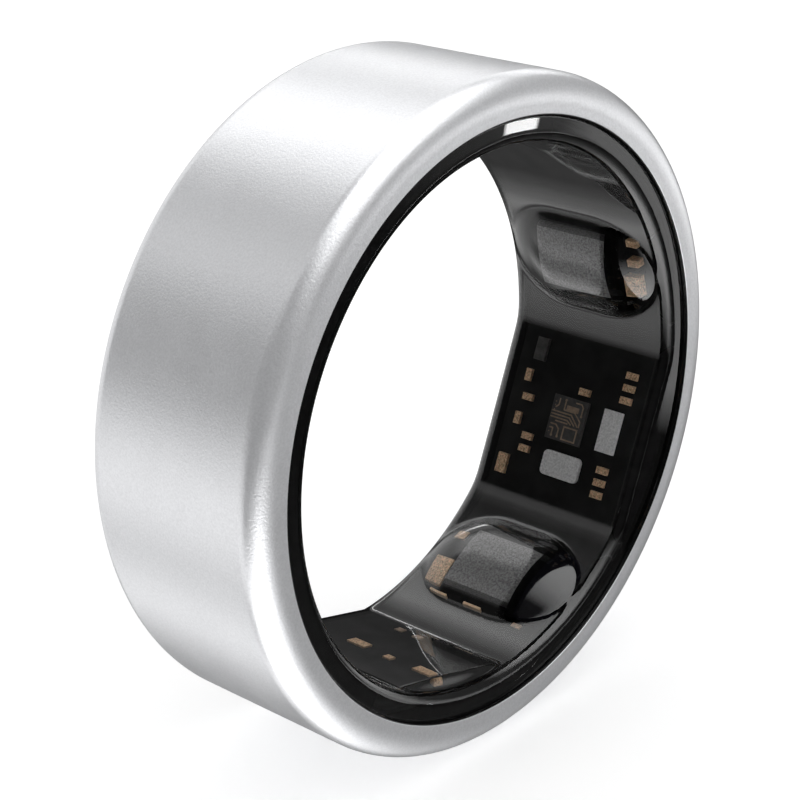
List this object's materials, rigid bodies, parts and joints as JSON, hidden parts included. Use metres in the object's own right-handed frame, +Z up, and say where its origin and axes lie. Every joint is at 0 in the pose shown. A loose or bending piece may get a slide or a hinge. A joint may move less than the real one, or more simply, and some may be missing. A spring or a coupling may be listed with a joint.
{
  "type": "smart ring",
  "caption": "Finger ring with a satin metal shell and a see-through sensor lining over its circuit board, coil and curved battery.",
  "frame": {"origin": "centre of the bore, halfway along the ring's width", "axes": "+Z up as the ring stands on its edge, +Y along the bore from the front face to the rear face, +X to the side of the chip window"},
  "size_m": [0.0244, 0.008, 0.0244],
  "materials": {
    "shell_titanium": "satin titanium with a fine lathe grain",
    "film_black": "matt black polyimide film",
    "tinted_resin": "glossy smoke-tinted clear resin",
    "potting_black": "black filled epoxy, matt",
    "board_black": "black solder mask, half gloss",
    "stiffener_steel": "bare stainless sheet",
    "package_black": "moulded black package",
    "package_grey": "dark grey wafer package",
    "trace_copper": "dull copper tracks",
    "can_silver": "grained silver lid",
    "terminal_copper": "copper-coloured blocks with a speckle",
    "sensor_grey": "grained grey filter window",
    "filter_dark": "glossy infrared-pass filter",
    "contact_gold": "gold plated bars",
    "cell_foil": "matt black wrap round the cell's foil",
    "winding_copper": "enamelled copper wire",
    "ferrite_grey": "dull ferrite sheet"
  },
  "bodies": {
    "root": {"outer_shell": "shell_titanium", "insulating_film": "film_black", "inner_moulding": "tinted_resin", "black_liner": "potting_black", "back_potting": "potting_black", "flex_board": "board_black", "board_stiffener": "stiffener_steel", "power_chip": "package_black", "processor_chip": "package_grey", "chip_traces": "trace_copper", "crystal_can": "can_silver", "memory_chip": "can_silver", "motion_sensor": "package_grey", "large_capacitor": "terminal_copper", "rear_passives": "terminal_copper", "chip_resistor": "terminal_copper", "front_passives": "terminal_copper", "charger_inductors": "terminal_copper", "charger_resistor": "terminal_copper", "charger_capacitors": "trace_copper", "photodiode_upper": "sensor_grey", "photodiode_lower": "sensor_grey", "light_barrier_upper": "film_black", "light_barrier_lower": "film_black", "leds_upper": "terminal_copper", "filter_lower": "filter_dark", "emitter_pads_lower": "terminal_copper", "contact_bars": "contact_gold", "temperature_sensor": "terminal_copper", "battery_cell": "cell_foil", "battery_tabs": "stiffener_steel", "protection_board": "board_black", "protection_chips": "package_black", "charging_coil": "winding_copper", "coil_ferrite": "ferrite_grey", "coil_pads": "contact_gold", "antenna": "trace_copper"}
  },
  "joints": []
}
